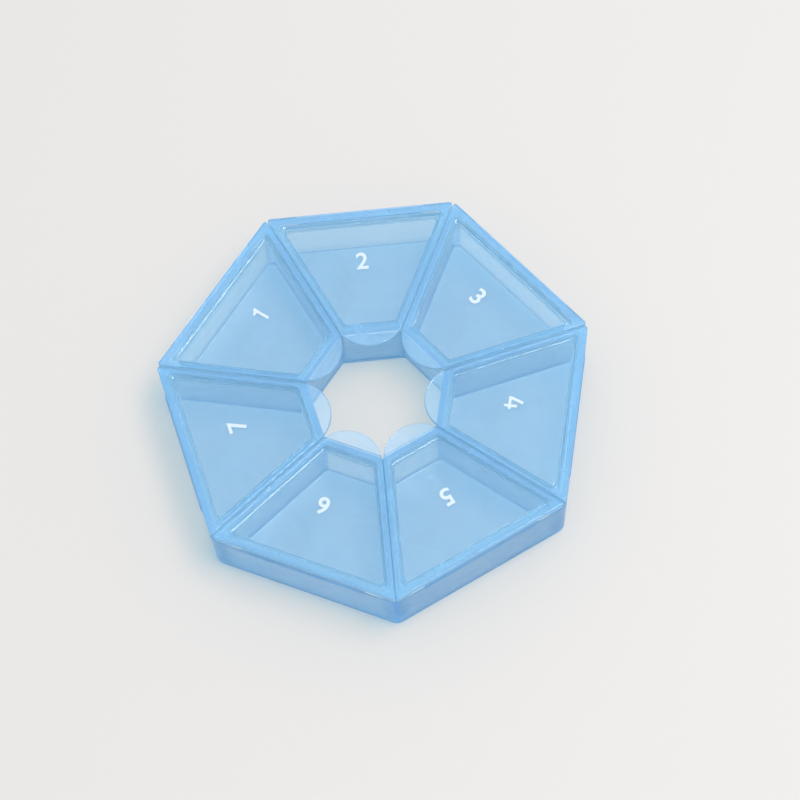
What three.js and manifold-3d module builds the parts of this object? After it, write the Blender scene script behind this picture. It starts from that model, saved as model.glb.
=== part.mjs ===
// Weekly pill organizer in millimetres, +Z up, standing on z = 0.
// One seven-sided ring tray holds seven compartments round an open middle. Each compartment has
// its own flip lid, which plugs into it with a skirt, overhangs the middle with a round thumb tab
// and is joined to the ring's outer edge by a thin living hinge.
import * as THREE from 'three';
import { mergeVertices } from 'three/addons/utils/BufferGeometryUtils.js';
import Module from 'manifold-3d';

// The ring, named by the day of each compartment, clockwise from the far side
const DAYS = ['tue', 'wed', 'thu', 'fri', 'sat', 'sun', 'mon'];
const RING_RADIUS = 57; // centre to a sharp outer corner, at the tray's top
const HOLE_RADIUS = 18.1; // centre to a sharp corner of the open middle, at the tray's top
const TOTAL_HEIGHT = 20;

// The tray
const OUTER_WALL = 1.5;
const INNER_WALL = 1.5;
const PARTITION = 1.5;
const FLOOR = 1.2;
const OUTER_LEAN = 0.35; // how far the outside leans in at the foot, for the mould's draft
const HOLE_LEAN = 0.7; // how much wider the open middle is at the foot, on each side
const POCKET_LEAN = 0.3;
const UPRIGHT_RADIUS = 3; // the ring's upright outer corners
const FOOT_RADIUS = 1; // the edge between the outside and the underside
const HOLE_CORNER_RADIUS = 0.8;
const POCKET_CORNER_RADIUS = 1.5;
const POCKET_FLOOR_RADIUS = 0.6;

// A lid
const LID_EDGE = 2.2; // thickness at the rim
const LID_SEAM = 0.3; // between neighbouring lids
const PARTING_GAP = 0.3; // between a shut lid and the tray's top
const LID_CORNER_RADIUS = 0.65; // outer corners, seen from above
const LID_TOP_RADIUS = 0.4; // the edge round the top
const RIM_OUTER = 2.2; // flat of the rim along the hinge
const RIM_SIDE = 1.5;
const RIM_INNER = 2.3; // from the inner wall's face
const RIM_CORNER_RADIUS = 0.9; // the rim's inner corners
const PANEL_RECESS = 1; // the panel lies this far below the rim, behind a round cove
const PANEL_PLATE = 1.2;
const SKIRT_CLEARANCE = 0.3; // to the compartment's walls
const SKIRT_WALL = 1.1;
const SKIRT_DEPTH = 2; // below the tray's top
const SKIRT_LEAN = 0.15;
const SKIRT_ROOT_RADIUS = 0.5;
const TAB_REACH = 3.9; // past the inner wall, on the lid's middle line
const TAB_THICKNESS = 1;
const BEAD_LENGTH = 9; // closing bead along the skirt's front
const BEAD_RADIUS = 0.18;

// A living hinge
const HINGE_LENGTH = 33;
const HINGE_REACH = 1; // over the lid's edge above the parting, and over the tray below it
const HINGE_THICKNESS = 0.4; // of its two legs, on the wall and on the lid
const HINGE_END_THICKNESS = 0.22;
const HINGE_FOLD = 0.26; // thickness where it folds
const HINGE_FACE = 0.12; // how far the legs stand past the outer wall
const HINGE_PROUD = 0.25; // how far the fold stands past the outer wall
const HINGE_BEND = 0.3; // half the height of the fold
const HINGE_TAPER = 0.4; // height of each leg's thinned end
const HINGE_GAP = 0.3; // between the hinge and its seat

// Steps of the round stretches
const CORNER_STEPS = 4;
const EDGE_STEPS = 3;
const TAB_STEPS = 18;
const HINGE_STEPS = 6;
const BEAD_SIDES = 10;

// Worked out from the sizes above
const HALF_TURN = Math.PI / DAYS.length; // half of one compartment's share of the ring
const OUTER_APOTHEM = RING_RADIUS * Math.cos(HALF_TURN);
const INNER_APOTHEM = HOLE_RADIUS * Math.cos(HALF_TURN);
const TRAY_HEIGHT = TOTAL_HEIGHT - LID_EDGE - PARTING_GAP;
const LID_BOTTOM = TOTAL_HEIGHT - LID_EDGE;
const PLATE_BOTTOM = TOTAL_HEIGHT - PANEL_RECESS - PANEL_PLATE;
const SKIRT_BOTTOM = TRAY_HEIGHT - SKIRT_DEPTH;
const PARTING = TRAY_HEIGHT + PARTING_GAP / 2;
const HINGE_SEAT = HINGE_THICKNESS - HINGE_FACE + HINGE_GAP; // depth of its seat in wall and lid
const OVERRUN = FLOOR; // how far a cut runs past the face that it opens
const CORNER_REACH = RING_RADIUS - UPRIGHT_RADIUS * (1 / Math.cos(HALF_TURN) - 1);
const RING_SHIFT = (CORNER_REACH - OUTER_APOTHEM - HINGE_PROUD) / 2; // centres the outline on Y

const wasm = await Module();
wasm.setup();

// Closed mesh to a solid that can be cut and joined
function solid(geometry) {
  const bare = geometry.clone();
  bare.deleteAttribute('normal');
  bare.deleteAttribute('uv');
  const merged = mergeVertices(bare);
  const mesh = new wasm.Mesh({
    numProp: 3,
    vertProperties: new Float32Array(merged.attributes.position.array),
    triVerts: new Uint32Array(merged.index.array),
  });
  return new wasm.Manifold(mesh);
}

function geometryOf(body) {
  const { vertProperties, triVerts } = body.getMesh();
  const indexed = new THREE.BufferGeometry();
  indexed.setAttribute('position', new THREE.BufferAttribute(vertProperties, 3));
  indexed.setIndex(new THREE.BufferAttribute(triVerts, 1));
  const geometry = indexed.toNonIndexed();
  geometry.computeVertexNormals();
  return geometry;
}

// Where two straight sides cross, each given by a point and a direction
function crossing(a, b) {
  const across = a.along.cross(b.along);
  const reach = b.point.clone().sub(a.point).cross(b.along) / across;
  return a.point.clone().addScaledVector(a.along, reach);
}

// Corners of a convex outline after each side moves inwards by its own distance.
// Side i runs from corner i to the next one, counter-clockwise.
function insetCorners(corners, distances) {
  const sides = corners.map((corner, i) => {
    const next = corners[(i + 1) % corners.length];
    const along = next.clone().sub(corner).normalize();
    const inward = new THREE.Vector2(-along.y, along.x);
    const point = corner.clone().addScaledVector(inward, distances[i]);
    return { point, along };
  });
  return sides.map((side, i) => crossing(sides.at(i - 1), side));
}

function insetEvenly(corners, distance) {
  return insetCorners(corners, corners.map(() => distance));
}

// Outline at height z with each corner rounded by its own radius, or left sharp at zero
function ring(corners, radii, z) {
  return corners.flatMap((corner, i) => {
    const radius = radii[i];
    if (radius === 0) {
      return [new THREE.Vector3(corner.x, corner.y, z)];
    }
    const back = corners.at(i - 1).clone().sub(corner).normalize();
    const ahead = corners[(i + 1) % corners.length].clone().sub(corner).normalize();
    const half = Math.acos(back.dot(ahead)) / 2;
    const middle = back.clone().add(ahead).normalize();
    const centre = corner.clone().addScaledVector(middle, radius / Math.sin(half));
    const outward = middle.clone().negate().angle();
    const sweep = Math.PI / 2 - half;
    const arc = new THREE.EllipseCurve(
      centre.x, centre.y, radius, radius, outward - sweep, outward + sweep, false,
    );
    return arc.getPoints(CORNER_STEPS).map((point) => new THREE.Vector3(point.x, point.y, z));
  });
}

function evenRing(corners, radius, z) {
  return ring(corners, corners.map(() => radius), z);
}

// Closed body through a stack of rings with equal numbers of points, from the lowest up
function loft(rings) {
  const count = rings[0].length;
  const indices = [];
  for (let level = 1; level < rings.length; level += 1) {
    const low = (level - 1) * count;
    const high = level * count;
    for (let i = 0; i < count; i += 1) {
      const next = (i + 1) % count;
      indices.push(low + i, low + next, high + next);
      indices.push(low + i, high + next, high + i);
    }
  }
  for (const [a, b, c] of THREE.ShapeUtils.triangulateShape(rings[0], [])) {
    indices.push(c, b, a);
  }
  const top = (rings.length - 1) * count;
  for (const [a, b, c] of THREE.ShapeUtils.triangulateShape(rings.at(-1), [])) {
    indices.push(top + a, top + b, top + c);
  }
  const geometry = new THREE.BufferGeometry().setFromPoints(rings.flat());
  geometry.setIndex(indices);
  return geometry;
}

// Sharp corners of the whole ring at a distance from the centre, counter-clockwise
function ringCorners(radius) {
  return DAYS.map((day, i) => {
    const angle = Math.PI / 2 + HALF_TURN * (2 * i + 1);
    return new THREE.Vector2(Math.cos(angle), Math.sin(angle)).multiplyScalar(radius);
  });
}

// One compartment's share of the ring, its middle line along +Y.
// The sides are, in turn, right, outer, left and inner.
function wedgeCorners() {
  const right = Math.tan(HALF_TURN);
  return [
    new THREE.Vector2(INNER_APOTHEM * right, INNER_APOTHEM),
    new THREE.Vector2(OUTER_APOTHEM * right, OUTER_APOTHEM),
    new THREE.Vector2(-OUTER_APOTHEM * right, OUTER_APOTHEM),
    new THREE.Vector2(-INNER_APOTHEM * right, INNER_APOTHEM),
  ];
}

// How far a face leans at height z, full at the foot and none at the tray's top
function leanAt(lean, z) {
  return lean * (1 - z / TRAY_HEIGHT);
}

// Heights and insets of a quarter round, from its lowest point up
function quarterRound(radius) {
  return Array.from({ length: EDGE_STEPS + 1 }, (unused, i) => {
    const angle = (i / EDGE_STEPS) * (Math.PI / 2);
    return { rise: radius * (1 - Math.cos(angle)), inset: radius * (1 - Math.sin(angle)) };
  });
}

function trayOutside() {
  const corners = ringCorners(RING_RADIUS);
  const foot = quarterRound(FOOT_RADIUS).map(({ rise, inset }) => {
    const edge = insetEvenly(corners, leanAt(OUTER_LEAN, rise) + inset);
    return evenRing(edge, UPRIGHT_RADIUS, rise);
  });
  return loft([...foot, evenRing(corners, UPRIGHT_RADIUS, TRAY_HEIGHT)]);
}

function trayHole() {
  const corners = ringCorners(HOLE_RADIUS);
  const levels = [-OVERRUN, TRAY_HEIGHT + OVERRUN];
  return loft(levels.map((z) => {
    const edge = insetEvenly(corners, -leanAt(HOLE_LEAN, z));
    return evenRing(edge, HOLE_CORNER_RADIUS, z);
  }));
}

function pocketCorners() {
  return insetCorners(wedgeCorners(), [PARTITION / 2, OUTER_WALL, PARTITION / 2, INNER_WALL]);
}

function pocket() {
  const corners = pocketCorners();
  const bowl = quarterRound(POCKET_FLOOR_RADIUS).map(({ rise, inset }) => {
    const edge = insetEvenly(corners, leanAt(POCKET_LEAN, FLOOR + rise) + inset);
    return evenRing(edge, POCKET_CORNER_RADIUS, FLOOR + rise);
  });
  const mouth = insetEvenly(corners, leanAt(POCKET_LEAN, TRAY_HEIGHT + OVERRUN));
  return loft([...bowl, evenRing(mouth, POCKET_CORNER_RADIUS, TRAY_HEIGHT + OVERRUN)]);
}

// Room for one hinge, cut into the outer wall and the lid's edge alike
function hingeSeat() {
  const length = HINGE_LENGTH + 2 * HINGE_GAP;
  const height = PARTING_GAP + 2 * (HINGE_REACH + HINGE_GAP);
  const depth = HINGE_SEAT + OVERRUN;
  const seat = new THREE.BoxGeometry(length, depth, height);
  return seat.translate(0, OUTER_APOTHEM - HINGE_SEAT + depth / 2, PARTING);
}

function trayGeometry() {
  let body = solid(trayOutside()).subtract(solid(trayHole()));
  DAYS.forEach((day, i) => {
    body = body.subtract(solid(pocket().rotateZ(dayAngle(i))));
    body = body.subtract(solid(hingeSeat().rotateZ(dayAngle(i))));
  });
  return geometryOf(body);
}

// Outline of a lid with its tab: straight sides that run smoothly into an arc at the inner end
function lidCorners() {
  const [, outerRight, outerLeft] = insetCorners(
    wedgeCorners(), [LID_SEAM / 2, 0, LID_SEAM / 2, 0],
  );
  const tip = INNER_APOTHEM - TAB_REACH;
  const centre = (tip - LID_SEAM / 2) / (1 - Math.sin(HALF_TURN)); // of the arc that touches both sides
  const radius = centre - tip;
  const sweep = Math.PI / 2 - HALF_TURN;
  const arc = new THREE.EllipseCurve(
    0, centre, radius, radius, -Math.PI / 2 - sweep, -Math.PI / 2 + sweep, false,
  );
  return [outerRight, outerLeft, ...arc.getPoints(TAB_STEPS)];
}

function lidSlab() {
  const corners = lidCorners();
  const radii = corners.map((corner, i) => (i < 2 ? LID_CORNER_RADIUS : 0));
  const top = quarterRound(LID_TOP_RADIUS).reverse().map(({ rise, inset }) => {
    return ring(insetEvenly(corners, inset), radii, TOTAL_HEIGHT - rise);
  });
  return loft([ring(corners, radii, LID_BOTTOM), ...top]);
}

// Space under the tab, which is thinner than the rim
function tabRelief() {
  const height = LID_EDGE - TAB_THICKNESS + OVERRUN;
  const depth = TAB_REACH + OVERRUN;
  const relief = new THREE.BoxGeometry(2 * INNER_APOTHEM, depth, height);
  const top = TOTAL_HEIGHT - TAB_THICKNESS;
  return relief.translate(0, INNER_APOTHEM - depth / 2, top - height / 2);
}

// The skirt's outside, which plugs into the compartment
function skirtBlock() {
  const corners = insetEvenly(pocketCorners(), SKIRT_CLEARANCE);
  const radius = POCKET_CORNER_RADIUS - SKIRT_CLEARANCE;
  return loft([
    evenRing(insetEvenly(corners, SKIRT_LEAN), radius, SKIRT_BOTTOM),
    evenRing(corners, radius, LID_BOTTOM + LID_EDGE / 2),
  ]);
}

// The skirt's inside up to the plate, with a round root
function skirtCore() {
  const corners = insetEvenly(pocketCorners(), SKIRT_CLEARANCE + SKIRT_WALL);
  const radius = POCKET_CORNER_RADIUS - SKIRT_CLEARANCE;
  const root = quarterRound(SKIRT_ROOT_RADIUS).reverse().map(({ rise, inset }) => {
    return evenRing(insetEvenly(corners, inset), radius, PLATE_BOTTOM - rise);
  });
  return loft([evenRing(corners, radius, SKIRT_BOTTOM - OVERRUN), ...root]);
}

// The recess in the top, coved all round
function panelRecess() {
  const side = LID_SEAM / 2 + RIM_SIDE;
  const corners = insetCorners(wedgeCorners(), [side, RIM_OUTER, side, RIM_INNER]);
  const cove = quarterRound(PANEL_RECESS).map(({ rise, inset }) => {
    const edge = insetEvenly(corners, inset);
    return evenRing(edge, RIM_CORNER_RADIUS, TOTAL_HEIGHT - PANEL_RECESS + rise);
  });
  return loft([...cove, evenRing(corners, RIM_CORNER_RADIUS, TOTAL_HEIGHT + OVERRUN)]);
}

// Bar along the skirt's front that holds the lid shut
function closingBead() {
  const bead = new THREE.CylinderGeometry(BEAD_RADIUS, BEAD_RADIUS, BEAD_LENGTH, BEAD_SIDES);
  const front = INNER_APOTHEM + INNER_WALL + SKIRT_CLEARANCE;
  const lean = (SKIRT_LEAN * SKIRT_DEPTH) / 2 / (LID_BOTTOM + LID_EDGE / 2 - SKIRT_BOTTOM);
  return bead.rotateZ(Math.PI / 2).translate(0, front + lean, TRAY_HEIGHT - SKIRT_DEPTH / 2);
}

function lidGeometry() {
  const body = solid(lidSlab())
    .subtract(solid(tabRelief()))
    .add(solid(skirtBlock()))
    .add(solid(closingBead()))
    .subtract(solid(skirtCore()))
    .subtract(solid(panelRecess()))
    .subtract(solid(hingeSeat()));
  return geometryOf(body);
}

// A thin strip bridging wall and lid: two legs, and between them a fold that is thinned by a
// groove on the inside and swells out past the line that the lid turns on
function hingeGeometry() {
  const half = PARTING_GAP / 2 + HINGE_REACH;
  const face = OUTER_APOTHEM + HINGE_FACE;
  const back = face - HINGE_THICKNESS;
  const end = back + HINGE_END_THICKNESS;
  const root = OUTER_APOTHEM + HINGE_PROUD - HINGE_FOLD; // bottom of the groove
  const peak = face + 2 * (HINGE_PROUD - HINGE_FACE); // puts the swell's top at its full reach
  const swell = new THREE.QuadraticBezierCurve(
    new THREE.Vector2(face, -HINGE_BEND),
    new THREE.Vector2(peak, 0),
    new THREE.Vector2(face, HINGE_BEND),
  );
  const section = new THREE.Shape([
    new THREE.Vector2(back, -half),
    new THREE.Vector2(end, -half),
    new THREE.Vector2(face, HINGE_TAPER - half),
    ...swell.getPoints(HINGE_STEPS),
    new THREE.Vector2(face, half - HINGE_TAPER),
    new THREE.Vector2(end, half),
    new THREE.Vector2(back, half),
    new THREE.Vector2(back, HINGE_BEND),
    new THREE.Vector2(root, 0),
    new THREE.Vector2(back, -HINGE_BEND),
  ]);
  const strip = new THREE.ExtrudeGeometry(section, { depth: HINGE_LENGTH, bevelEnabled: false });
  const turn = new THREE.Matrix4().makeBasis(
    new THREE.Vector3(0, 1, 0), new THREE.Vector3(0, 0, 1), new THREE.Vector3(1, 0, 0),
  );
  return strip.translate(0, 0, -HINGE_LENGTH / 2).applyMatrix4(turn).translate(0, 0, PARTING);
}

// Turn of each day's compartment from the one on the far side, clockwise
function dayAngle(i) {
  return -2 * HALF_TURN * i;
}

function bluePlastic(color, opacity) {
  return new THREE.MeshStandardMaterial({
    color, roughness: 0.25, metalness: 0, transparent: true, opacity,
  });
}

function piece(name, geometry, material) {
  const mesh = new THREE.Mesh(geometry, material);
  mesh.name = name;
  return mesh;
}

const organizer = new THREE.Group();
organizer.position.y = RING_SHIFT;
organizer.add(piece('tray', trayGeometry(), bluePlastic(0x7fb3de, 0.6)));

const lidShape = lidGeometry();
const hingeShape = hingeGeometry();
DAYS.forEach((day, i) => {
  const side = new THREE.Group();
  side.rotation.z = dayAngle(i);
  side.add(piece(`lid_${day}`, lidShape, bluePlastic(0xa0cbea, 0.55)));
  side.add(piece(`hinge_${day}`, hingeShape, bluePlastic(0x8fc3f5, 0.7)));
  organizer.add(side);
});

const group = new THREE.Group();
group.add(organizer);

export default group;
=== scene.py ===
import math
import bmesh
import bpy
from mathutils import Matrix, Vector


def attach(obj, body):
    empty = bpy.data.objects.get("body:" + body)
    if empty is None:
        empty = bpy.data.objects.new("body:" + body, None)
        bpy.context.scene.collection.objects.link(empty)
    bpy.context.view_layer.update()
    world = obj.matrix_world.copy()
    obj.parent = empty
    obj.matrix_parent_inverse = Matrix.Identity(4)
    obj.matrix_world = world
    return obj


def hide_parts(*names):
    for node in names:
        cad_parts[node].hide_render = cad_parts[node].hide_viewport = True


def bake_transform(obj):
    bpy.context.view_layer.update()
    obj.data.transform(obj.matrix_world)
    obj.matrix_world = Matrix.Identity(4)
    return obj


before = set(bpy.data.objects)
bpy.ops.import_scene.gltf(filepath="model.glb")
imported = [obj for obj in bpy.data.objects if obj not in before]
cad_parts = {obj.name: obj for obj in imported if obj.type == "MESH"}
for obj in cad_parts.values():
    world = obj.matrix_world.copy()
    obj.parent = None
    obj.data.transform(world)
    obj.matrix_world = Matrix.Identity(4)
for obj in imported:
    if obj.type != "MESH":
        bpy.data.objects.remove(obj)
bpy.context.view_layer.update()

# Weekly pill organizer. Lengths are millimetres until a mesh is placed in the frame, in metres.
MM = 0.001

# The ring, clockwise from the far side
DAYS = ("tue", "wed", "thu", "fri", "sat", "sun", "mon")
RING_RADIUS = 57.0  # centre to a sharp outer corner, at the tray's top
HOLE_RADIUS = 18.1  # centre to a sharp corner of the open middle, at the tray's top
TOTAL_HEIGHT = 20.0

# The tray
OUTER_WALL = 1.5
INNER_WALL = 1.5
PARTITION = 1.5
FLOOR = 1.2
OUTER_LEAN = 0.35  # how far the outside leans in at the foot, for the mould's draft
HOLE_LEAN = 0.7  # how much wider the open middle is at the foot, on each side
POCKET_LEAN = 0.3  # how far a compartment's walls would lean in at the foot
UPRIGHT_RADIUS = 3.0  # where two outer walls meet
FOOT_RADIUS = 1.0
TRAY_EDGE_RADIUS = 0.3  # along the tray's top
HOLE_CORNER_RADIUS = 0.8
POCKET_CORNER_RADIUS = 1.5
POCKET_FLOOR_RADIUS = 0.6
GATE_DAY = "sun"  # the compartment on whose floor the melt came in
GATE_PLACE = (-0.6, 36.8)  # across and along its middle line, from the ring's centre
GATE_RADIUS = 1.5
GATE_RISE = 0.07

# A lid
LID_EDGE = 2.2  # thickness at the rim
LID_SEAM = 0.3  # between neighbouring lids
PARTING_GAP = 0.3  # between a shut lid and the tray's top
LID_CORNER_RADIUS = 0.65
LID_TOP_RADIUS = 0.4
LID_UNDER_RADIUS = 0.45
RIM_OUTER = 2.2  # flat of the rim along the hinge
RIM_SIDE = 1.5
RIM_INNER = 2.3
RIM_CORNER_RADIUS = 0.9
PANEL_RECESS = 1.0  # the panel lies this far below the rim, behind a round cove
PANEL_PLATE = 1.2
SKIRT_CLEARANCE = 0.3
SKIRT_WALL = 1.1
SKIRT_DEPTH = 2.0  # below the tray's top
SKIRT_LEAN = 0.15  # how far it leans in at its lower edge
SKIRT_EDGE_RADIUS = 0.3
SKIRT_ROOT_RADIUS = 0.5
TAB_REACH = 3.9
TAB_THICKNESS = 1.0
TAB_UNDER_RADIUS = 0.25
BEAD_LENGTH = 9.0
BEAD_RADIUS = 0.18
BEAD_SHARES = ((-1, 0.4), (-0.96, 1), (0.96, 1), (1, 0.4))  # of half its length and of its radius

# A living hinge: two legs in seats in the wall and the lid's edge, and a swollen fold between them
HINGE_LENGTH = 33.0
HINGE_REACH = 1.0  # of each leg, from the parting gap
HINGE_THICKNESS = 0.4
HINGE_END_THICKNESS = 0.22
HINGE_FOLD = 0.26  # thickness in the fold
HINGE_FACE = 0.12  # how far the legs stand out from the wall
HINGE_PROUD = 0.25  # how far the fold does
HINGE_BEND = 0.3  # half the height of the fold
HINGE_LEG_STEP = 0.15  # from the fold to the first cross-line of a leg
HINGE_TAPER = 0.4  # height over which a leg thins to its end
HINGE_CURVE_POWER = 1.5
HINGE_GAP = 0.05  # between the web and its seats
HINGE_END_ROUND = 0.06

# The printed numbers: figure, distance from the ring's centre, and direction in degrees from +X
PRINT_PLACES = {
    "mon": ("1", 37.3, 139.1),
    "tue": ("2", 37.1, 90.9),
    "wed": ("3", 37.0, 40.0),
    "thu": ("4", 35.1, -11.3),
    "fri": ("5", 34.1, -63.6),
    "sat": ("6", 33.8, -118.2),
    "sun": ("7", 36.5, -170.7),
}
PRINT_HEIGHT = 4.8
PRINT_FATTENING_SHARE = 0.02  # of the letter size, added round each stroke
PRINT_THICKNESS = 0.03
PRINT_LIFT = 0.02
# A one with a flag and an open four, drawn here because the font's strokes are thin or meet in them.
# They are 4.6 high and are scaled to the print's height with the rest.
FIGURES = {
    "1": (
        (1.0, 0.0), (1.75, 0.0), (1.75, 4.6), (1.2, 4.6), (0.95, 4.2), (0.5, 3.9), (0.0, 3.8),
        (0.0, 3.2), (1.0, 3.2),
    ),
    "4": (
        (2.1, 0.0), (2.85, 0.0), (2.85, 1.0), (3.4, 1.0), (3.4, 1.7), (2.85, 1.7), (2.85, 3.2),
        (2.1, 3.2), (2.1, 1.7), (0.85, 1.7), (1.9, 4.6), (1.1, 4.6), (0.0, 1.6), (0.0, 1.0),
        (2.1, 1.0),
    ),
}

# Steps of the round stretches, and how meshes are finished
CORNER_STEPS = 8
EDGE_STEPS = 6
TAB_STEPS = 48
FOLD_STEPS = 20
TAPER_STEPS = 4
FONT_STEPS = 6
GATE_SIDES = 48
BEAD_SIDES = 16
SHARP_ANGLE = 35.0  # degrees between two faces, past which their edge shades as sharp
MERGE_DISTANCE = 0.0005
PRINT_MERGE_DISTANCE = 0.0001

# Worked out from the sizes above
HALF_TURN = math.pi / len(DAYS)
OUTER_APOTHEM = RING_RADIUS * math.cos(HALF_TURN)
INNER_APOTHEM = HOLE_RADIUS * math.cos(HALF_TURN)
TRAY_HEIGHT = TOTAL_HEIGHT - LID_EDGE - PARTING_GAP
LID_BOTTOM = TOTAL_HEIGHT - LID_EDGE
PANEL_TOP = TOTAL_HEIGHT - PANEL_RECESS
PLATE_BOTTOM = PANEL_TOP - PANEL_PLATE
SKIRT_BOTTOM = TRAY_HEIGHT - SKIRT_DEPTH
SKIRT_TOP = LID_BOTTOM + LID_EDGE / 2
PARTING = TRAY_HEIGHT + PARTING_GAP / 2
HINGE_HALF = PARTING_GAP / 2 + HINGE_REACH
HINGE_SEAT = HINGE_THICKNESS - HINGE_FACE + HINGE_GAP
OVERRUN = FLOOR  # how far a cutting body runs past what it cuts
CORNER_REACH = RING_RADIUS - UPRIGHT_RADIUS * (1 / math.cos(HALF_TURN) - 1)
RING_SHIFT = (CORNER_REACH - OUTER_APOTHEM - HINGE_PROUD) / 2  # puts the middle of the ring's depth at zero

scene = bpy.context.scene


def linear(hex_colour):
    """sRGB hex to the linear values that a shader takes."""
    parts = [int(hex_colour[i:i + 2], 16) / 255 for i in (1, 3, 5)]
    light = [c / 12.92 if c <= 0.04045 else ((c + 0.055) / 1.055) ** 2.4 for c in parts]
    return (*light, 1.0)


def add(tree, kind, links=(), **settings):
    """Adds a node with its settings. links gives an input a value, another node's output, or a
    whole node, which stands for its first output."""
    node = tree.nodes.new(kind)
    for key, value in settings.items():
        setattr(node, key, value)
    for socket, value in links:
        if isinstance(value, bpy.types.Node):
            value = value.outputs[0]
        if isinstance(value, bpy.types.NodeSocket):
            tree.links.new(value, node.inputs[socket])
        else:
            node.inputs[socket].default_value = value
    return node


# Outlines and closed bodies

def inset_corners(corners, distances):
    """Corners of a convex outline after each side moves inwards by its own distance."""
    sides = []
    for i, corner in enumerate(corners):
        along = (corners[(i + 1) % len(corners)] - corner).normalized()
        inward = Vector((-along.y, along.x))
        sides.append((corner + inward * distances[i], along))
    moved = []
    for i, (point, along) in enumerate(sides):
        before, along_before = sides[i - 1]
        reach = (point - before).cross(along) / along_before.cross(along)
        moved.append(before + along_before * reach)
    return moved


def inset_evenly(corners, distance):
    return inset_corners(corners, [distance] * len(corners))


def ring(corners, radii, z):
    """Outline at height z with each corner rounded by its own radius, or left sharp at zero."""
    points = []
    for i, corner in enumerate(corners):
        if radii[i] == 0:
            points.append(Vector((corner.x, corner.y, z)))
            continue
        back = (corners[i - 1] - corner).normalized()
        ahead = (corners[(i + 1) % len(corners)] - corner).normalized()
        half = back.angle(ahead) / 2
        middle = (back + ahead).normalized()
        centre = corner + middle * (radii[i] / math.sin(half))
        outward = math.atan2(-middle.y, -middle.x)
        sweep = math.pi / 2 - half
        for step in range(CORNER_STEPS + 1):
            angle = outward - sweep + 2 * sweep * step / CORNER_STEPS
            x = centre.x + radii[i] * math.cos(angle)
            y = centre.y + radii[i] * math.sin(angle)
            points.append(Vector((x, y, z)))
    return points


def even_ring(corners, radius, z):
    return ring(corners, [radius] * len(corners), z)


def mesh_of(name, points, faces):
    mesh = bpy.data.meshes.new(name)
    mesh.from_pydata(points, [], faces)
    return mesh


def loft(name, rings):
    """Closed body through a stack of rings with equal numbers of points, from the lowest up."""
    count = len(rings[0])
    faces = [tuple(reversed(range(count)))]
    for level in range(1, len(rings)):
        low, high = (level - 1) * count, level * count
        for i in range(count):
            after = (i + 1) % count
            faces.append((low + i, low + after, high + after, high + i))
    top = (len(rings) - 1) * count
    faces.append(tuple(range(top, top + count)))
    return mesh_of(name, [point for points in rings for point in points], faces)


def stack(name, corners, radius, levels):
    """Closed body of one outline that is inset by its own distance at each height."""
    return loft(name, [even_ring(inset_evenly(corners, inset), radius, z) for z, inset in levels])


def block(name, low, high):
    """A box between two corners."""
    corners = [
        Vector((low[0], low[1])), Vector((high[0], low[1])),
        Vector((high[0], high[1])), Vector((low[0], high[1])),
    ]
    return loft(name, [even_ring(corners, 0, z) for z in (low[2], high[2])])


def quarter_round(radius):
    """Rises and insets of a quarter round, from its lowest point up."""
    angles = [i / EDGE_STEPS * math.pi / 2 for i in range(EDGE_STEPS + 1)]
    return [(radius * (1 - math.cos(a)), radius * (1 - math.sin(a))) for a in angles]


def lower_edge(z, radius):
    """Heights and insets of a round that starts at height z and goes up."""
    return [(z + rise, inset) for rise, inset in quarter_round(radius)]


def upper_edge(z, radius):
    """Heights and insets of a round that goes up and ends at height z."""
    return [(z - rise, inset) for rise, inset in reversed(quarter_round(radius))]


def angles_round(sides):
    return [2 * math.pi * i / sides for i in range(sides)]


def lean_at(lean, z):
    """How far a face leans at height z, full at the foot and none from the tray's top up."""
    return lean * (1 - min(z, TRAY_HEIGHT) / TRAY_HEIGHT)


def ring_corners(radius):
    angles = [math.pi / 2 + HALF_TURN * (2 * i + 1) for i in range(len(DAYS))]
    return [Vector((math.cos(a), math.sin(a))) * radius for a in angles]


def share_turn(index):
    """How far a share of the ring is turned, clockwise from the far side."""
    return -2 * HALF_TURN * index


def wedge_corners():
    """One compartment's share of the ring, its middle line along +Y: right, outer, left, inner."""
    right = math.tan(HALF_TURN)
    return [
        Vector((INNER_APOTHEM * right, INNER_APOTHEM)),
        Vector((OUTER_APOTHEM * right, OUTER_APOTHEM)),
        Vector((-OUTER_APOTHEM * right, OUTER_APOTHEM)),
        Vector((-INNER_APOTHEM * right, INNER_APOTHEM)),
    ]


def pocket_corners():
    return inset_corners(wedge_corners(), [PARTITION / 2, OUTER_WALL, PARTITION / 2, INNER_WALL])


# Node trees that set things out round the ring

def tree_with(name, inputs):
    """A node tree with a geometry in and out and further named inputs."""
    tree = bpy.data.node_groups.new(name, "GeometryNodeTree")
    kinds = [("Geometry", "NodeSocketGeometry"), *inputs]
    for label, kind in kinds:
        tree.interface.new_socket(label, in_out="INPUT", socket_type=kind)
    tree.interface.new_socket("Geometry", in_out="OUTPUT", socket_type="NodeSocketGeometry")
    return tree, add(tree, "NodeGroupInput").outputs


def turned_share(tree, compartments, share):
    """Rotation of one share of the ring, clockwise from the far side."""
    turn = add(tree, "ShaderNodeMath", [(0, -2 * math.pi), (1, compartments)], operation="DIVIDE")
    angle = add(tree, "ShaderNodeMath", [(0, turn), (1, share)], operation="MULTIPLY")
    return add(tree, "ShaderNodeCombineXYZ", [("Z", angle)])


def end_of(tree, geometry, plastic):
    plain = add(tree, "GeometryNodeRealizeInstances", [("Geometry", geometry)])
    dressed = add(tree, "GeometryNodeSetMaterial", [("Geometry", plain), ("Material", plastic)])
    add(tree, "NodeGroupOutput", [("Geometry", dressed)])
    return tree


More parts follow.
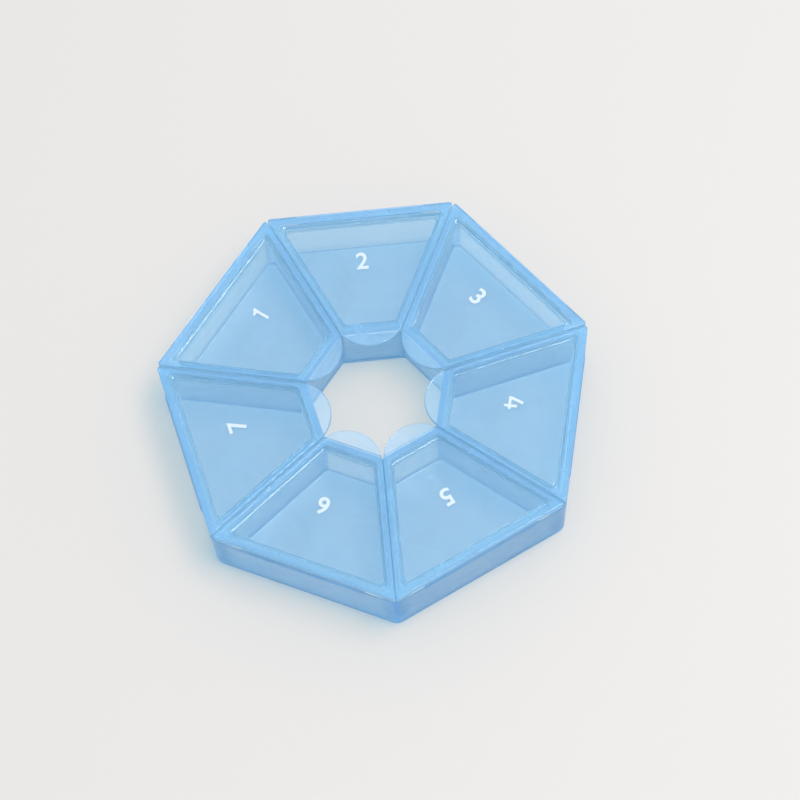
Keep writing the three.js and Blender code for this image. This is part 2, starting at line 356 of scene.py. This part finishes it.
def compartment_tree():
    """Cuts the same compartment out of a blank at every share of the ring, and the open middle."""
    tree, given = tree_with("ring_of_compartments", [
        ("Compartments", "NodeSocketInt"),
        ("Compartment", "NodeSocketObject"),
        ("Middle", "NodeSocketObject"),
        ("Plastic", "NodeSocketMaterial"),
    ])
    places = add(tree, "GeometryNodePoints", [("Count", given["Compartments"])])
    share = add(tree, "GeometryNodeInputIndex")
    cutter = add(tree, "GeometryNodeObjectInfo", [("Object", given["Compartment"])])
    middle = add(tree, "GeometryNodeObjectInfo", [("Object", given["Middle"])])
    cuts = add(tree, "GeometryNodeInstanceOnPoints", [
        ("Points", places),
        ("Instance", cutter.outputs["Geometry"]),
        ("Rotation", turned_share(tree, given["Compartments"], share)),
    ])
    plain = add(tree, "GeometryNodeRealizeInstances", [("Geometry", cuts)])
    cut = add(tree, "GeometryNodeMeshBoolean", [
        ("Mesh 1", given["Geometry"]),
        ("Mesh 2", plain),
        ("Mesh 2", middle.outputs["Geometry"]),
    ], operation="DIFFERENCE", solver="MANIFOLD")
    return end_of(tree, cut, given["Plastic"])


def share_tree():
    """Sets one piece at its share of the ring."""
    tree, given = tree_with("share_of_the_ring", [
        ("Compartments", "NodeSocketInt"),
        ("Share", "NodeSocketInt"),
        ("Plastic", "NodeSocketMaterial"),
    ])
    place = add(tree, "GeometryNodePoints", [("Count", 1)])
    turned = add(tree, "GeometryNodeInstanceOnPoints", [
        ("Points", place),
        ("Instance", given["Geometry"]),
        ("Rotation", turned_share(tree, given["Compartments"], given["Share"])),
    ])
    return end_of(tree, turned, given["Plastic"])


# From working objects to finished pieces

def scratch(data):
    """A working object made of a mesh or a curve."""
    thing = bpy.data.objects.new(data.name, data)
    scene.collection.objects.link(thing)
    return thing


def baked(thing):
    """The plain mesh that an object and its modifiers give. The object is removed."""
    bpy.context.view_layer.update()
    graph = bpy.context.evaluated_depsgraph_get()
    mesh = bpy.data.meshes.new_from_object(thing.evaluated_get(graph))
    bpy.data.objects.remove(thing)
    for slot in reversed(range(len(mesh.materials))):
        if mesh.materials[slot] is None:
            mesh.materials.pop(index=slot)
    return mesh


def grown(tree, mesh, **inputs):
    """The mesh that a tree makes of another one, its inputs set by their identifiers."""
    thing = scratch(mesh)
    modifier = thing.modifiers.new(tree.name, "NODES")
    modifier.node_group = tree
    for item in tree.interface.items_tree:
        if item.in_out == "INPUT" and item.name in inputs:
            modifier[item.identifier] = inputs[item.name]
    return baked(thing)


def carved(body, steps):
    """A body's mesh after a row of joins and cuts, each an operation and a mesh."""
    thing = scratch(body)
    tools = [scratch(mesh) for operation, mesh in steps]
    for (operation, mesh), tool in zip(steps, tools):
        modifier = thing.modifiers.new(operation, "BOOLEAN")
        modifier.operation = operation
        modifier.solver = "MANIFOLD"
        modifier.object = tool
    result = baked(thing)
    for tool in tools:
        bpy.data.objects.remove(tool)
    return result


def clean(mesh, distance):
    """Merges doubles, takes out slivers and turns all faces outwards."""
    work = bmesh.new()
    work.from_mesh(mesh)
    bmesh.ops.remove_doubles(work, verts=work.verts, dist=distance)
    bmesh.ops.dissolve_degenerate(work, edges=work.edges, dist=distance)
    bmesh.ops.recalc_face_normals(work, faces=work.faces)
    work.to_mesh(mesh)
    work.free()


def smoothed(mesh):
    """Round stretches shade as round and flats as flat, split where faces meet sharply."""
    clean(mesh, MERGE_DISTANCE)
    mesh.polygons.foreach_set("use_smooth", [True] * len(mesh.polygons))
    mesh.set_sharp_from_angle(angle=math.radians(SHARP_ANGLE))
    thing = scratch(mesh)
    modifier = thing.modifiers.new("flats", "WEIGHTED_NORMAL")
    modifier.keep_sharp = True
    return baked(thing)


def placed(name, mesh):
    """The piece itself, its place in its mesh and its object at the origin."""
    mesh.transform(Matrix.Translation((0, RING_SHIFT * MM, 0)) @ Matrix.Scale(MM, 4))
    mesh.name = name
    return scratch(mesh)


# The tray

def tray_blank():
    corners = ring_corners(RING_RADIUS)
    rings = []
    for z, inset in lower_edge(0, FOOT_RADIUS):
        edge = inset_evenly(corners, lean_at(OUTER_LEAN, z) + inset)
        rings.append(even_ring(edge, UPRIGHT_RADIUS, z))
    for z, inset in upper_edge(TRAY_HEIGHT, TRAY_EDGE_RADIUS):
        edge = inset_evenly(corners, inset)
        rings.append(even_ring(edge, UPRIGHT_RADIUS - inset / 2, z))
    return loft("tray_blank", rings)


def open_middle():
    """The middle of the ring, wider towards the foot and flared along the tray's top."""
    levels = [(-OVERRUN, 0)] + upper_edge(TRAY_HEIGHT, TRAY_EDGE_RADIUS)
    levels.append((TRAY_HEIGHT + OVERRUN, TRAY_EDGE_RADIUS))
    levels = [(z, -lean_at(HOLE_LEAN, z) - flare) for z, flare in levels]
    return stack("open_middle", ring_corners(HOLE_RADIUS), HOLE_CORNER_RADIUS, levels)


def pocket():
    """One compartment's inside, rounded at the floor and flared along the tray's top."""
    levels = lower_edge(FLOOR, POCKET_FLOOR_RADIUS)
    levels += [(z, -flare) for z, flare in upper_edge(TRAY_HEIGHT, TRAY_EDGE_RADIUS)]
    levels.append((TRAY_HEIGHT + OVERRUN, -TRAY_EDGE_RADIUS))
    levels = [(z, lean_at(POCKET_LEAN, z) + inset) for z, inset in levels]
    return stack("pocket", pocket_corners(), POCKET_CORNER_RADIUS, levels)


def hinge_seat():
    """Room for one hinge, cut into the outer wall and the lid's edge alike."""
    across = HINGE_LENGTH / 2 + HINGE_GAP
    half = HINGE_HALF + HINGE_GAP
    low = (-across, OUTER_APOTHEM - HINGE_SEAT, PARTING - half)
    return block("hinge_seat", low, (across, OUTER_APOTHEM + OVERRUN, PARTING + half))


def gate_mark():
    """The low dome left on one floor opposite the point where the melt came in."""
    levels = [(FLOOR / 2, GATE_RADIUS), (FLOOR, GATE_RADIUS)]
    for step in range(1, EDGE_STEPS):
        angle = step / EDGE_STEPS * math.pi / 2
        levels.append((FLOOR + GATE_RISE * math.sin(angle), GATE_RADIUS * math.cos(angle)))
    turn = Matrix.Rotation(share_turn(DAYS.index(GATE_DAY)), 3, "Z")
    x, y = GATE_PLACE
    circles = []
    for z, radius in levels:
        circles.append([
            turn @ Vector((x + radius * math.cos(a), y + radius * math.sin(a), z))
            for a in angles_round(GATE_SIDES)
        ])
    return loft("gate_mark", circles)


def joined(name, meshes):
    """Several closed meshes as one mesh."""
    points, faces = [], []
    for mesh in meshes:
        start = len(points)
        points += [vertex.co.copy() for vertex in mesh.vertices]
        faces += [tuple(start + i for i in face.vertices) for face in mesh.polygons]
    return mesh_of(name, points, faces)


def tray_mesh(tree, plastic):
    cutter = scratch(joined("compartment", [pocket(), hinge_seat()]))
    middle = scratch(open_middle())
    mesh = grown(
        tree, tray_blank(), Compartments=len(DAYS), Compartment=cutter, Middle=middle, Plastic=plastic,
    )
    bpy.data.objects.remove(cutter)
    bpy.data.objects.remove(middle)
    return carved(mesh, [("UNION", gate_mark())])


# A lid

def lid_corners():
    """Outline with the tab: straight sides that run smoothly into an arc at the inner end."""
    outer_right, outer_left = inset_corners(wedge_corners(), [LID_SEAM / 2, 0, LID_SEAM / 2, 0])[1:3]
    tip = INNER_APOTHEM - TAB_REACH
    centre = (tip - LID_SEAM / 2) / (1 - math.sin(HALF_TURN))
    radius = centre - tip
    sweep = math.pi / 2 - HALF_TURN
    corners = [outer_right, outer_left]
    for step in range(TAB_STEPS + 1):
        angle = -math.pi / 2 - sweep + 2 * sweep * step / TAB_STEPS
        corners.append(Vector((radius * math.cos(angle), centre + radius * math.sin(angle))))
    return corners


def lid_ring(inset, z):
    """The outline at a height, with its two outer corners rounded."""
    corners = lid_corners()
    radii = [LID_CORNER_RADIUS if i < 2 else 0 for i in range(len(corners))]
    return ring(inset_evenly(corners, inset), radii, z)


def lid_slab():
    levels = lower_edge(LID_BOTTOM, LID_UNDER_RADIUS) + upper_edge(TOTAL_HEIGHT, LID_TOP_RADIUS)
    return loft("lid_slab", [lid_ring(inset, z) for z, inset in levels])


def tab_relief():
    """Space under the tab, which is thinner than the rim and rounded along its lower edge."""
    under = TOTAL_HEIGHT - TAB_THICKNESS
    low = (-INNER_APOTHEM, INNER_APOTHEM - TAB_REACH - OVERRUN, LID_BOTTOM - OVERRUN)
    space = block("tab_relief", low, (INNER_APOTHEM, INNER_APOTHEM, under + TAB_UNDER_RADIUS))
    levels = lower_edge(under, TAB_UNDER_RADIUS)
    levels.append((under + 2 * TAB_UNDER_RADIUS, -TAB_UNDER_RADIUS))
    tab = loft("tab", [lid_ring(inset, z) for z, inset in levels])
    return carved(space, [("DIFFERENCE", tab)])


def skirt_block():
    """The skirt's outside, which plugs into the compartment."""
    corners = inset_evenly(pocket_corners(), SKIRT_CLEARANCE)
    levels = [(z, SKIRT_LEAN + inset) for z, inset in lower_edge(SKIRT_BOTTOM, SKIRT_EDGE_RADIUS)]
    levels.append((SKIRT_TOP, 0))
    return stack("skirt", corners, POCKET_CORNER_RADIUS - SKIRT_CLEARANCE, levels)


def skirt_core():
    """The skirt's inside up to the plate, bevelled at its lower edge and with a round root."""
    corners = inset_evenly(pocket_corners(), SKIRT_CLEARANCE + SKIRT_WALL)
    levels = [(SKIRT_BOTTOM - OVERRUN, -SKIRT_EDGE_RADIUS)]
    levels += [(SKIRT_BOTTOM, -SKIRT_EDGE_RADIUS), (SKIRT_BOTTOM + SKIRT_EDGE_RADIUS, 0)]
    levels += upper_edge(PLATE_BOTTOM, SKIRT_ROOT_RADIUS)
    return stack("skirt_core", corners, POCKET_CORNER_RADIUS - SKIRT_CLEARANCE, levels)


def panel_recess():
    """The recess in the top, coved all round."""
    side = LID_SEAM / 2 + RIM_SIDE
    corners = inset_corners(wedge_corners(), [side, RIM_OUTER, side, RIM_INNER])
    levels = lower_edge(PANEL_TOP, PANEL_RECESS)
    levels.append((TOTAL_HEIGHT + OVERRUN, 0))
    return stack("recess", corners, RIM_CORNER_RADIUS, levels)


def closing_bead():
    """Bar along the skirt's front that holds the lid shut, thinner at both ends."""
    front = INNER_APOTHEM + INNER_WALL + SKIRT_CLEARANCE
    lean = SKIRT_LEAN * SKIRT_DEPTH / 2 / (SKIRT_TOP - SKIRT_BOTTOM)
    height = TRAY_HEIGHT - SKIRT_DEPTH / 2
    rings = []
    for along_share, round_share in BEAD_SHARES:
        x = along_share * BEAD_LENGTH / 2
        radius = round_share * BEAD_RADIUS
        rings.append([
            Vector((x, front + lean + radius * math.cos(a), height + radius * math.sin(a)))
            for a in angles_round(BEAD_SIDES)
        ])
    return loft("bead", rings)


def lid_mesh():
    return carved(lid_slab(), [
        ("DIFFERENCE", tab_relief()),
        ("UNION", skirt_block()),
        ("UNION", closing_bead()),
        ("DIFFERENCE", skirt_core()),
        ("DIFFERENCE", panel_recess()),
        ("DIFFERENCE", hinge_seat()),
    ])


# A living hinge

def hinge_levels():
    """Heights of the web's cross-lines from the parting, closer together in the fold."""
    fold = [HINGE_BEND * (2 * i / FOLD_STEPS - 1) for i in range(FOLD_STEPS + 1)]
    taper = HINGE_HALF - HINGE_TAPER
    leg = [HINGE_BEND + HINGE_LEG_STEP]
    leg += [taper + HINGE_TAPER * i / TAPER_STEPS for i in range(TAPER_STEPS + 1)]
    return [-z for z in reversed(leg)] + fold + leg


def hinge_faces(z):
    """Where the web's inside and outside lie at a height from the parting."""
    face = OUTER_APOTHEM + HINGE_FACE
    back = face - HINGE_THICKNESS
    outside, inside = face, back
    taper = HINGE_HALF - HINGE_TAPER
    if abs(z) > taper:
        share = (abs(z) - taper) / HINGE_TAPER
        outside = face - (HINGE_THICKNESS - HINGE_END_THICKNESS) * share ** HINGE_CURVE_POWER
    if abs(z) < HINGE_BEND:
        share = 1 - (z / HINGE_BEND) ** 2
        outside = face + (HINGE_PROUD - HINGE_FACE) * share
        root = OUTER_APOTHEM + HINGE_PROUD - HINGE_FOLD
        inside = back + (root - back) * share ** HINGE_CURVE_POWER
    return inside, outside


def hinge_mesh():
    """A thin strip bridging wall and lid, with rounded ends, made in rows that bend well."""
    levels = hinge_levels()
    half = HINGE_LENGTH / 2
    near = half - HINGE_END_ROUND
    stations = [(half, HINGE_END_ROUND), (near, 0), (0, 0), (-near, 0), (-half, HINGE_END_ROUND)]
    rows = 2 * len(levels)
    points, faces = [], []
    for x, less in stations:
        points += [Vector((x, hinge_faces(z)[1] - less, PARTING + z)) for z in levels]
        points += [Vector((x, hinge_faces(z)[0] + less / 2, PARTING + z)) for z in reversed(levels)]
    for i in range(len(stations) - 1):
        for k in range(rows):
            after = (k + 1) % rows
            faces.append((i * rows + k, (i + 1) * rows + k, (i + 1) * rows + after, i * rows + after))
    last = (len(stations) - 1) * rows
    for k in range(len(levels) - 1):
        faces.append((k, k + 1, rows - 2 - k, rows - 1 - k))
        faces.append((last + k + 1, last + k, last + rows - 1 - k, last + rows - 2 - k))
    return mesh_of("hinge", points, faces)


# The printed numbers

def number_mesh(figure, reach, direction, turn):
    """A figure at its height and thickness, laid on a panel and turned as its lid is."""
    half = 1  # of its thickness, before it is scaled
    if figure in FIGURES:
        corners = [Vector(point) for point in FIGURES[figure]]
        mesh = loft("number", [even_ring(corners, 0, z) for z in (-half, half)])
    else:
        curve = bpy.data.curves.new("number", "FONT")
        curve.body = figure
        curve.offset = PRINT_FATTENING_SHARE
        curve.resolution_u = FONT_STEPS
        curve.extrude = half
        mesh = baked(scratch(curve))
    low = [min(v.co[axis] for v in mesh.vertices) for axis in range(3)]
    high = [max(v.co[axis] for v in mesh.vertices) for axis in range(3)]
    middle = [(a + b) / 2 for a, b in zip(low, high)]
    size = PRINT_HEIGHT / (high[1] - low[1])
    thickness = PRINT_THICKNESS / (high[2] - low[2])
    angle = math.radians(direction)
    spot = Vector((
        reach * math.cos(angle), reach * math.sin(angle),
        PANEL_TOP + PRINT_LIFT + PRINT_THICKNESS / 2,
    ))
    mesh.transform(
        Matrix.Translation(spot)
        @ Matrix.Rotation(turn, 4, "Z")
        @ Matrix.Diagonal((size, size, thickness, 1))
        @ Matrix.Translation([-value for value in middle])
    )
    clean(mesh, PRINT_MERGE_DISTANCE)
    return mesh


# Materials

ABSORPTION_PER_MM = (0.078, 0.018, 0.0)  # of red, green and blue light
PLASTIC_IOR = 1.49
FLOW_SPACING = 1000 / 70  # the flow marks lie about 14 mm apart
FLOW_DETAIL = 3.0
FLOW_DISTORTION = 1.2
FLOW_NOISE = (0.35, 0.7)  # the noise's values over which the milk thickens
FLOW_SHARES = (0.85, 1.25)  # of the milk, where the flow marks are thinnest and thickest
RIPPLE_HEIGHT = 0.01
RIPPLE_STRENGTH = 0.25
LEVEL_NORMALS = (0.3, 0.7)  # a face counts as upright below the first and as level above the second
# painted shade: the deeper blue of the line along a wall's foot, in place of the darkening that light bent
# at the rounded foot gives
CREASE_SHADE_COLOUR = "#6FA8D8"


def over_rise(tree, rise, below, above):
    """A number or colour that goes from one value to another over a rise in height, or the value
    itself where the two are equal."""
    if below == above:
        return below
    kind = "RGBA" if isinstance(below, tuple) else "FLOAT"
    ends = [("Factor", rise), ("A", below), ("B", above)]
    return add(tree, "ShaderNodeMix", ends, data_type=kind).outputs["Result"]


def upright_milk(tree, normal, share):
    """More milk on upright faces, where the eye looks into the depth of a rim."""
    upward = add(tree, "ShaderNodeSeparateXYZ", [("Vector", normal)]).outputs["Z"]
    level = add(tree, "ShaderNodeMath", [(0, upward)], operation="ABSOLUTE")
    return add(tree, "ShaderNodeMapRange", [
        ("Value", level), ("From Min", LEVEL_NORMALS[0]), ("From Max", LEVEL_NORMALS[1]),
        ("To Min", share), ("To Max", 0.0),
    ])


def flow_marks(tree, place):
    """Faint marks of the melt's flow: how much they thicken the milk, and a ripple in the gloss."""
    flow = add(tree, "ShaderNodeTexNoise", [
        ("Vector", place), ("Scale", 1 / (FLOW_SPACING * MM)),
        ("Detail", FLOW_DETAIL), ("Distortion", FLOW_DISTORTION),
    ])
    thicker = add(tree, "ShaderNodeMapRange", [
        ("Value", flow), ("From Min", FLOW_NOISE[0]), ("From Max", FLOW_NOISE[1]),
        ("To Min", FLOW_SHARES[0]), ("To Max", FLOW_SHARES[1]),
    ])
    ripple = add(tree, "ShaderNodeBump", [
        ("Height", flow), ("Strength", RIPPLE_STRENGTH), ("Distance", RIPPLE_HEIGHT * MM),
    ])
    return thicker, ripple


def in_soft_light(tree, body, shade):
    """The body as the eye sees it. Light on its way to the ground, and light that matt surfaces
    gather, passes straight through in an even shade, which keeps the ground free of grain."""
    dim = add(tree, "ShaderNodeBsdfTransparent", [("Color", shade)])
    path = add(tree, "ShaderNodeLightPath").outputs
    gathered = add(tree, "ShaderNodeMixShader", [(0, path["Is Diffuse Ray"]), (1, body), (2, dim)])
    return add(tree, "ShaderNodeMixShader", [(0, path["Is Shadow Ray"]), (1, gathered), (2, dim)])


def polypropylene(
    name, rise_heights, milk_shares, back_shares, milk_colours, shades, roughness,
    upright_share=0, crease_shade_share=0,
):
    """Injection-moulded clarified polypropylene with a sky-blue tint: clear enough to show the
    partitions through a lid, a little milky, and deeper blue wherever the eye looks along a wall.
    Each pair is for below and above a short rise in height: the share of milk in the clear
    plastic, the share of the milk's light that comes back instead of going through, the milk's
    colour, and the shade that the plastic casts. Upright faces can have more milk, and the rise
    itself a painted shade: a milkier, deeper blue crease line."""
    material = bpy.data.materials.new(name)
    material.use_nodes = True
    tree = material.node_tree
    tree.nodes.clear()
    places = add(tree, "ShaderNodeTexCoord").outputs
    rise = None
    if rise_heights:
        start, end = rise_heights
        height = add(tree, "ShaderNodeSeparateXYZ", [("Vector", places["Object"])]).outputs["Z"]
        rise = add(tree, "ShaderNodeMapRange", [
            ("Value", height), ("From Min", start * MM), ("From Max", end * MM),
        ])
    thicker, ripple = flow_marks(tree, places["Object"])
    milky = over_rise(tree, rise, *milk_shares)
    colour = over_rise(tree, rise, *[linear(colour) for colour in milk_colours])
    if upright_share:
        more = upright_milk(tree, places["Normal"], upright_share)
        milky = add(tree, "ShaderNodeMath", [(0, milky), (1, more)])
    milky = add(tree, "ShaderNodeMath", [(0, milky), (1, thicker)], operation="MULTIPLY")
    # painted shade: a milkier, deeper blue line along the middle of the rise, where a wall meets the floor
    if crease_shade_share:
        crease = add(tree, "ShaderNodeMath", [(0, rise), (1, 0.5)], operation="PINGPONG")
        crease = add(tree, "ShaderNodeMath", [(0, crease), (1, 2 * crease_shade_share)], operation="MULTIPLY")
        milky = add(tree, "ShaderNodeMath", [(0, milky), (1, crease)])
        tint = [("Factor", crease), ("A", colour), ("B", linear(CREASE_SHADE_COLOUR))]
        mixed = add(tree, "ShaderNodeMix", tint, data_type="RGBA", blend_type="MULTIPLY")
        colour = mixed.outputs["Result"]
    clear = add(tree, "ShaderNodeBsdfPrincipled", [
        ("Base Color", linear("#FFFFFF")),
        ("Roughness", roughness),
        ("IOR", PLASTIC_IOR),
        ("Transmission Weight", 1.0),
        ("Normal", ripple),
    ])
    through = add(tree, "ShaderNodeBsdfTranslucent", [("Color", colour)])
    back = add(tree, "ShaderNodeBsdfDiffuse", [("Color", colour)])
    returned = over_rise(tree, rise, *back_shares)
    milk = add(tree, "ShaderNodeMixShader", [(0, returned), (1, through), (2, back)])
    body = add(tree, "ShaderNodeMixShader", [(0, milky), (1, clear), (2, milk)])
    shade = over_rise(tree, rise, *[linear(shade) for shade in shades])
    most = max(ABSORPTION_PER_MM)
    depth = add(tree, "ShaderNodeVolumeAbsorption", [
        ("Color", (*(1 - loss / most for loss in ABSORPTION_PER_MM), 1.0)),
        ("Density", most / MM),
    ])
    add(tree, "ShaderNodeOutputMaterial", [
        ("Surface", in_soft_light(tree, body, shade)), ("Volume", depth),
    ])
    return material


def surface(name, colour, roughness):
    material = bpy.data.materials.new(name)
    material.use_nodes = True
    shader = material.node_tree.nodes["Principled BSDF"]
    shader.inputs["Base Color"].default_value = linear(colour)
    shader.inputs["Roughness"].default_value = roughness
    return material


# The tray's satin mould gives soft gloss. The floor is nearly clear and sends its milk's light back,
# the walls glow with what comes through them, and a painted shade line runs where they rise from the floor.
tray_plastic = polypropylene(
    "moulded_polypropylene_tray",
    rise_heights=(FLOOR + 0.1, FLOOR + 0.5),
    milk_shares=(0.2, 0.4),
    back_shares=(0.7, 0.2),
    milk_colours=("#B4DEFA", "#BCDFFC"),
    shades=("#DBE6F3", "#F6F7F8"),
    roughness=0.1,
    crease_shade_share=0.8,
)
# The lids' polished mould gives sharp gloss. The thin panel is the clearest part, and the rim round it
# is milkier and a fuller blue, most of all on its upright faces.
lid_plastic = polypropylene(
    "moulded_polypropylene_lid",
    rise_heights=(PANEL_TOP + 0.05, TOTAL_HEIGHT - 0.1),
    milk_shares=(0.1, 0.3),
    back_shares=(0.7, 0.7),
    milk_colours=("#B4DEFA", "#9ED5FF"),
    shades=("#F7F7F8", "#F7F7F8"),
    roughness=0.03,
    upright_share=0.35,
)
# Flexing has stretched the webs, which makes them cloudy: a nearly opaque, deeper blue line.
hinge_plastic = polypropylene(
    "flexed_polypropylene_web",
    rise_heights=None,
    milk_shares=(0.7, 0.7),
    back_shares=(0.5, 0.5),
    milk_colours=("#8CC6F4", "#8CC6F4"),
    shades=("#F7FAFC", "#F7FAFC"),
    roughness=0.12,
)
# A thin coat of opaque white ink, a little cool and dulled, reads as flat white on the blue.
ink = surface("white_pad_print_ink", "#C1D0DA", 0.4)

plastics = {"tray": tray_plastic, "lid": lid_plastic, "hinge": hinge_plastic}
for name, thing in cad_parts.items():
    thing.data.materials.clear()
    thing.data.materials.append(plastics[name.split("_")[0]])

# The pieces

compartments = compartment_tree()
shares = share_tree()

tray = placed("ring_tray", smoothed(tray_mesh(compartments, tray_plastic)))
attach(tray, "tray")
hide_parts("tray")

lid_shape = lid_mesh()
hinge_shape = hinge_mesh()
for i, day in enumerate(DAYS):
    lid = placed(f"flip_lid_{day}", smoothed(grown(
        shares, lid_shape.copy(), Compartments=len(DAYS), Share=i, Plastic=lid_plastic,
    )))
    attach(lid, f"lid_{day}")
    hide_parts(f"lid_{day}")

    web = placed(f"living_hinge_{day}", smoothed(grown(
        shares, hinge_shape.copy(), Compartments=len(DAYS), Share=i, Plastic=hinge_plastic,
    )))
    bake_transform(web)
    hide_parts(f"hinge_{day}")

    figure, reach, direction = PRINT_PLACES[day]
    number = placed(f"number_{figure}", number_mesh(figure, reach, direction, share_turn(i)))
    number.data.materials.append(ink)
    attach(number, f"lid_{day}")

# Floor, light and camera, in metres and degrees

GROUND_SIZE = 4.0
GROUND_DROP = 0.00005  # under the tray's foot, so that the two don't share a plane
SKY_COLOUR = "#FDFDFF"
SKY_DIRECTION = (0.25, 0.45, 0.85)  # towards its brightest part
SKY_SPREAD = (-0.3, 1.0)  # how far along that direction it starts to brighten, and is brightest
SKY_STRENGTHS = (0.5, 1.0)
KEY_PLACE = (0.47, -0.05, 1.33)  # aside, where no level face mirrors it to the camera
KEY_SIZE = (0.8, 0.45)
KEY_WATTS = 13.5
CAMERA_ELEVATION = 66.806
CAMERA_ROLL = -5.467
CAMERA_DISTANCE = 0.7436
CAMERA_AIM = (0.005758, 0.003327, 0.01)
CAMERA_LENS = 129.9  # millimetres
CAMERA_NEAR = 0.01
LIGHT_BOUNCES = 64  # light crosses many faces of clear plastic before it comes out

bpy.ops.mesh.primitive_plane_add(size=GROUND_SIZE, location=(0, 0, -GROUND_DROP))
floor = bpy.context.object
floor.name = "floor"
# A plain pale matt floor takes the plastic's soft shadow and returns no gloss.
floor.data.materials.append(surface("pale_matt_floor", "#CAC8C6", 0.7))

world = bpy.data.worlds.new("soft_studio")
scene.world = world
world.use_nodes = True
world.cycles.sampling_method = "NONE"  # the sky has no small bright part, so this leaves less grain
sky = world.node_tree
way = add(sky, "ShaderNodeTexCoord").outputs["Generated"]
toward = add(sky, "ShaderNodeVectorMath", [(0, way), (1, SKY_DIRECTION)], operation="DOT_PRODUCT")
glow = add(sky, "ShaderNodeMapRange", [
    ("Value", toward.outputs["Value"]), ("From Min", SKY_SPREAD[0]), ("From Max", SKY_SPREAD[1]),
    ("To Min", SKY_STRENGTHS[0]), ("To Max", SKY_STRENGTHS[1]),
])
background = sky.nodes["Background"].inputs
background["Color"].default_value = linear(SKY_COLOUR)
sky.links.new(glow.outputs[0], background["Strength"])

key = bpy.data.objects.new("key", bpy.data.lights.new("key", "AREA"))
key.data.shape = "RECTANGLE"
key.data.size, key.data.size_y = KEY_SIZE
key.data.energy = KEY_WATTS
scene.collection.objects.link(key)
key.location = KEY_PLACE
key.rotation_mode = "QUATERNION"
key.rotation_quaternion = (-Vector(KEY_PLACE)).to_track_quat("-Z", "Y")

camera = bpy.data.objects.new("camera", bpy.data.cameras.new("camera"))
camera.data.lens = CAMERA_LENS
camera.data.clip_start = CAMERA_NEAR
scene.collection.objects.link(camera)
scene.camera = camera
elevation = math.radians(CAMERA_ELEVATION)
back = Vector((0, -math.cos(elevation), math.sin(elevation)))
camera.location = Vector(CAMERA_AIM) + back * CAMERA_DISTANCE
camera.rotation_mode = "QUATERNION"
roll = Matrix.Rotation(math.radians(CAMERA_ROLL), 4, "Z").to_quaternion()
camera.rotation_quaternion = (-back).to_track_quat("-Z", "Y") @ roll

scene.view_settings.view_transform = "Standard"
scene.cycles.max_bounces = LIGHT_BOUNCES
scene.cycles.transmission_bounces = LIGHT_BOUNCES
scene.cycles.transparent_max_bounces = LIGHT_BOUNCES
